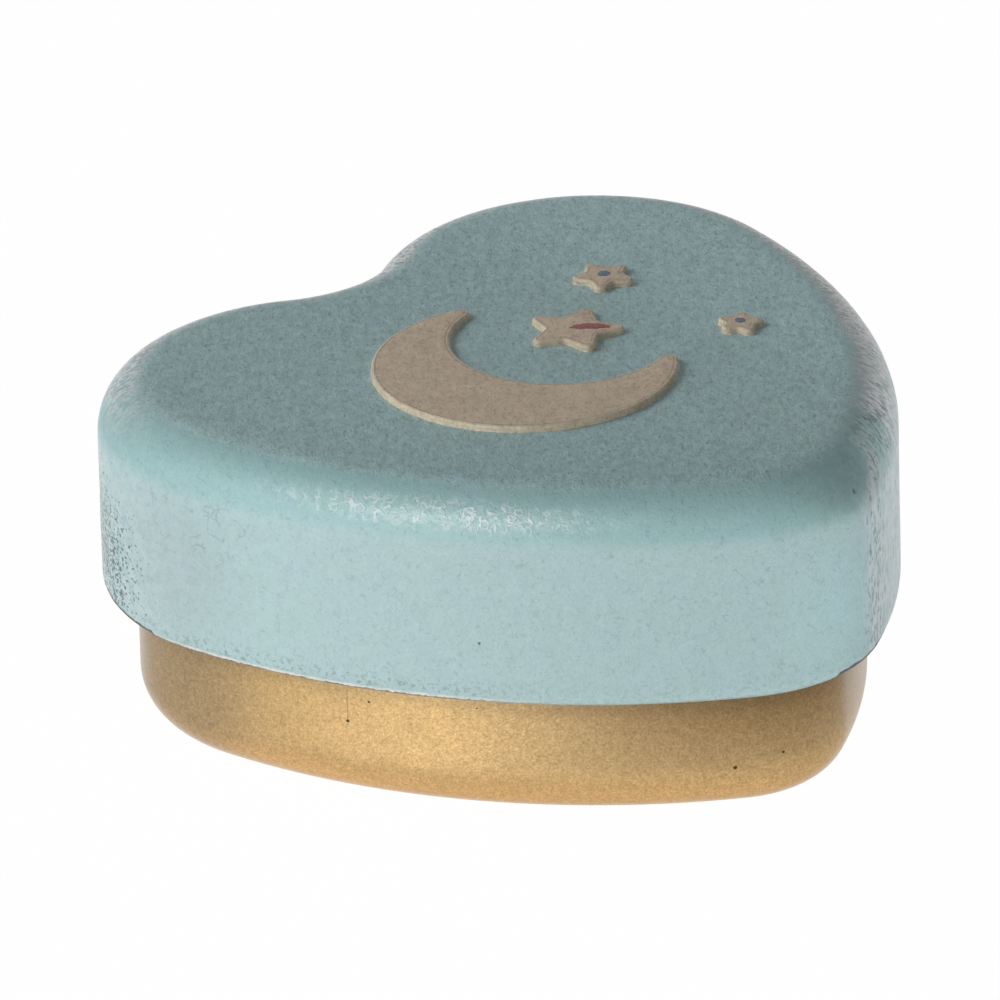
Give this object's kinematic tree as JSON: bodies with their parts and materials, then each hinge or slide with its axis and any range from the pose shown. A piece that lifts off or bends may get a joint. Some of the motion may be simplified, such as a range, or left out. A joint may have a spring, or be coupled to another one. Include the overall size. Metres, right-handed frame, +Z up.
{
  "type": "keepsake tin",
  "caption": "Small heart-shaped painted tin for a child's first teeth: a drawn base pan with a rolled rim, and a deep slip-on lid with a raised moon-and-stars emblem that lifts straight off.",
  "frame": {"origin": "on the surface that the tin stands on, under the middle of the lid's width and length", "axes": "+X across the heart, +Y towards the heart's cleft, +Z up, the way that the lid lifts off"},
  "size_m": [0.05, 0.0472, 0.0227],
  "materials": {
    "gold_paint": "satin metallic gold paint with a fine grain and a few pits",
    "aqua_paint": "glossy wrinkled and crackled pale aqua paint",
    "emblem_paint": "cream enamel on the raised emblem, with small blue and red touches",
    "bare_tinplate": "satin tinplate inside the pan and the lid"
  },
  "bodies": {
    "base": {"base": "gold_paint"},
    "lid": {"lid": "aqua_paint"}
  },
  "joints": [
    {"name": "lid_lift", "type": "slide", "parent": "base", "child": "lid", "axis": [0, 0, 1], "range_m": [0, 0.04]}
  ]
}
